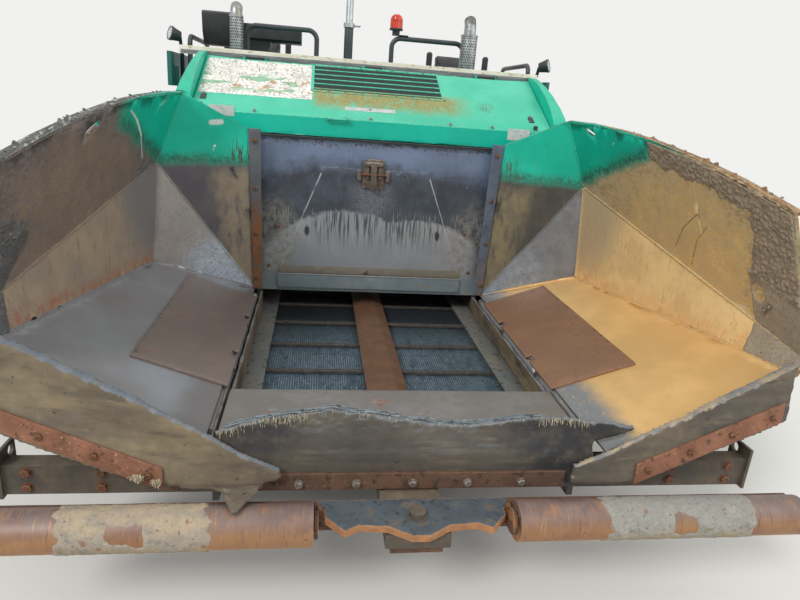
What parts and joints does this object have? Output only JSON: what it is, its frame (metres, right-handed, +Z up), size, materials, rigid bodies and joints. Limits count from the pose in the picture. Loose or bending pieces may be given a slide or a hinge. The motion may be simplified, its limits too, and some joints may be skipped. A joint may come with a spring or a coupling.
{
  "type": "asphalt paver",
  "caption": "Tracked asphalt paver with folding hopper wings, push rollers, chain conveyors, augers, sliding-seat platform and an extending screed",
  "frame": {"origin": "On the ground below the middle of the bounding box", "axes": "+Z up, -Y towards the hopper and push rollers, +X to the right seen from the front"},
  "size_m": [3.1688, 6.707, 2.839],
  "materials": {
    "dark_frame": "dark grey frame paint, dusty",
    "track_rubber": "rubber track pads on steel shoes",
    "worn_steel": "worn plate steel with asphalt film and rust",
    "wear_floor": "hardened floor plate, polished in streaks",
    "rusty_steel": "rusted mild steel",
    "black_rubber": "dusty rubber sheet",
    "soot_steel": "blue-grey plate with soot",
    "teal_paint": "teal enamel, faded and scratched",
    "engine_iron": "engine block",
    "cream_paint": "pale cream enamel",
    "dark_teal": "dark teal sheet",
    "silver_pipe": "aluminised exhaust pipe",
    "beacon_lens": "orange-red lens",
    "lamp_black": "black lamp housing",
    "console_plastic": "black moulded plastic",
    "chrome_rod": "hard chrome rod",
    "seat_vinyl": "black seat vinyl"
  },
  "bodies": {
    "tractor": {"chassis": "dark_frame", "cross_member": "dark_frame", "track_left": "track_rubber", "track_right": "track_rubber", "track_frames": "dark_frame", "track_wheels": "worn_steel", "conveyor_floor": "wear_floor", "centre_guard": "rusty_steel", "conveyor_chains": "worn_steel", "conveyor_shafts": "worn_steel", "front_plate": "rusty_steel", "apron": "black_rubber", "apron_bar": "rusty_steel", "bulkhead": "soot_steel", "hatch_latch": "dark_frame", "engine_house": "teal_paint", "engine": "engine_iron", "cowl_strip": "cream_paint", "deck": "dark_frame", "side_tanks": "teal_paint", "side_panels": "dark_teal", "console_rail": "dark_frame", "handrails": "dark_frame", "stacks": "silver_pipe", "beacon": "beacon_lens", "mast": "silver_pipe", "work_lamps": "lamp_black", "auger_frame": "dark_frame"},
    "hood": {"hood": "teal_paint"},
    "push_beam": {"push_beam": "rusty_steel"},
    "console": {"console": "console_plastic"},
    "screed": {"screed": "worn_steel", "tow_arms": "dark_frame"},
    "wing_left": {"wing_left": "worn_steel", "cover_plate_left": "rusty_steel", "wing_flap_left": "black_rubber", "wing_strips_left": "rusty_steel"},
    "wing_barrel_left": {"wing_barrel_left": "dark_frame"},
    "wing_rod_left": {"wing_rod_left": "chrome_rod"},
    "lift_barrel_left": {"lift_barrel_left": "dark_frame"},
    "lift_rod_left": {"lift_rod_left": "chrome_rod"},
    "push_roller_left": {"push_roller_left": "rusty_steel"},
    "side_door_left": {"side_door_left": "teal_paint"},
    "seat_left": {"seat_left": "seat_vinyl"},
    "auger_left": {"auger_left": "worn_steel"},
    "screed_extension_left": {"screed_extension_left": "worn_steel"},
    "wing_right": {"wing_right": "worn_steel", "cover_plate_right": "rusty_steel", "wing_flap_right": "black_rubber", "wing_strips_right": "rusty_steel"},
    "wing_barrel_right": {"wing_barrel_right": "dark_frame"},
    "wing_rod_right": {"wing_rod_right": "chrome_rod"},
    "lift_barrel_right": {"lift_barrel_right": "dark_frame"},
    "lift_rod_right": {"lift_rod_right": "chrome_rod"},
    "push_roller_right": {"push_roller_right": "rusty_steel"},
    "side_door_right": {"side_door_right": "teal_paint"},
    "seat_right": {"seat_right": "seat_vinyl"},
    "auger_right": {"auger_right": "worn_steel"},
    "screed_extension_right": {"screed_extension_right": "worn_steel"}
  },
  "joints": [
    {"name": "wing_fold_left", "type": "hinge", "parent": "tractor", "child": "wing_left", "pos_m": [-0.735, -2, 0.59], "axis": [0, 1, 0], "range_deg": [0, 40]},
    {"name": "wing_cylinder_left", "type": "hinge", "parent": "tractor", "child": "wing_barrel_left", "pos_m": [-0.765, -2.5, 0.44], "axis": [0, 1, 0], "range_deg": [0, 32.44]},
    {"name": "wing_rod_slide_left", "type": "slide", "parent": "wing_barrel_left", "child": "wing_rod_left", "axis": [-0.8096, 0, 0.587], "range_m": [0, 0.0816]},
    {"name": "wing_fold_right", "type": "hinge", "parent": "tractor", "child": "wing_right", "pos_m": [0.735, -2, 0.59], "axis": [0, -1, 0], "range_deg": [0, 40]},
    {"name": "wing_cylinder_right", "type": "hinge", "parent": "tractor", "child": "wing_barrel_right", "pos_m": [0.765, -2.5, 0.44], "axis": [0, -1, 0], "range_deg": [0, 32.44]},
    {"name": "wing_rod_slide_right", "type": "slide", "parent": "wing_barrel_right", "child": "wing_rod_right", "axis": [0.8096, 0, 0.587], "range_m": [0, 0.0816]},
    {"name": "push_beam_pivot", "type": "hinge", "parent": "tractor", "child": "push_beam", "pos_m": [0, -3.25, 0.47], "axis": [0, 0, 1], "range_deg": [-4, 4]},
    {"name": "push_roller_spin_left", "type": "hinge", "parent": "push_beam", "child": "push_roller_left", "pos_m": [-0.9, -3.25, 0.47], "axis": [1, 0, 0], "continuous": true},
    {"name": "push_roller_spin_right", "type": "hinge", "parent": "push_beam", "child": "push_roller_right", "pos_m": [0.9, -3.25, 0.47], "axis": [1, 0, 0], "continuous": true},
    {"name": "hood_lift", "type": "hinge", "parent": "tractor", "child": "hood", "pos_m": [0, -0.45, 2.024], "axis": [-1, 0, 0], "range_deg": [0, 65]},
    {"name": "side_door_left_open", "type": "hinge", "parent": "tractor", "child": "side_door_left", "pos_m": [-1.246, -0.98, 1.19], "axis": [0, 0, 1], "range_deg": [0, 110]},
    {"name": "side_door_right_open", "type": "hinge", "parent": "tractor", "child": "side_door_right", "pos_m": [1.246, -0.98, 1.19], "axis": [0, 0, -1], "range_deg": [0, 110]},
    {"name": "seat_swivel_left", "type": "hinge", "parent": "tractor", "child": "seat_left", "pos_m": [-0.94, 1.07, 1.5], "axis": [0, 0, 1], "range_deg": [-30, 30]},
    {"name": "seat_swivel_right", "type": "hinge", "parent": "tractor", "child": "seat_right", "pos_m": [0.94, 1.07, 1.5], "axis": [0, 0, 1], "range_deg": [-30, 30]},
    {"name": "console_slide", "type": "slide", "parent": "tractor", "child": "console", "axis": [1, 0, 0], "range_m": [0, 0.9]},
    {"name": "auger_spin_left", "type": "hinge", "parent": "tractor", "child": "auger_left", "pos_m": [-0.7, 2.08, 0.42], "axis": [1, 0, 0], "continuous": true},
    {"name": "auger_spin_right", "type": "hinge", "parent": "tractor", "child": "auger_right", "pos_m": [0.7, 2.08, 0.42], "axis": [1, 0, 0], "continuous": true},
    {"name": "screed_lift", "type": "hinge", "parent": "tractor", "child": "screed", "pos_m": [0, -0.6, 0.67], "axis": [1, 0, 0], "range_deg": [0, 5]},
    {"name": "screed_extend_left", "type": "slide", "parent": "screed", "child": "screed_extension_left", "axis": [-1, 0, 0], "range_m": [0, 0.9]},
    {"name": "screed_extend_right", "type": "slide", "parent": "screed", "child": "screed_extension_right", "axis": [1, 0, 0], "range_m": [0, 0.9]},
    {"name": "lift_cylinder_left", "type": "hinge", "parent": "tractor", "child": "lift_barrel_left", "pos_m": [-1.25, 1.95, 1.29], "axis": [1, 0, 0], "range_deg": [0, 14.95]},
    {"name": "lift_rod_slide_left", "type": "slide", "parent": "lift_barrel_left", "child": "lift_rod_left", "axis": [0, 0.5351, -0.8448], "range_m": [-0.2086, 0]},
    {"name": "lift_cylinder_right", "type": "hinge", "parent": "tractor", "child": "lift_barrel_right", "pos_m": [1.25, 1.95, 1.29], "axis": [1, 0, 0], "range_deg": [0, 14.95]},
    {"name": "lift_rod_slide_right", "type": "slide", "parent": "lift_barrel_right", "child": "lift_rod_right", "axis": [0, 0.5351, -0.8448], "range_m": [-0.2086, 0]}
  ],
  "couplings": [
    {"joint": "wing_cylinder_left", "follows": "wing_fold_left", "ratio": 0.7985},
    {"joint": "wing_rod_slide_left", "follows": "wing_fold_left", "m_per_rad": 0.11408},
    {"joint": "wing_cylinder_right", "follows": "wing_fold_right", "ratio": 0.7985},
    {"joint": "wing_rod_slide_right", "follows": "wing_fold_right", "m_per_rad": 0.11408},
    {"joint": "lift_cylinder_left", "follows": "screed_lift", "ratio": 2.891},
    {"joint": "lift_rod_slide_left", "follows": "screed_lift", "m_per_rad": -2.3678},
    {"joint": "lift_cylinder_right", "follows": "screed_lift", "ratio": 2.891},
    {"joint": "lift_rod_slide_right", "follows": "screed_lift", "m_per_rad": -2.3678}
  ]
}
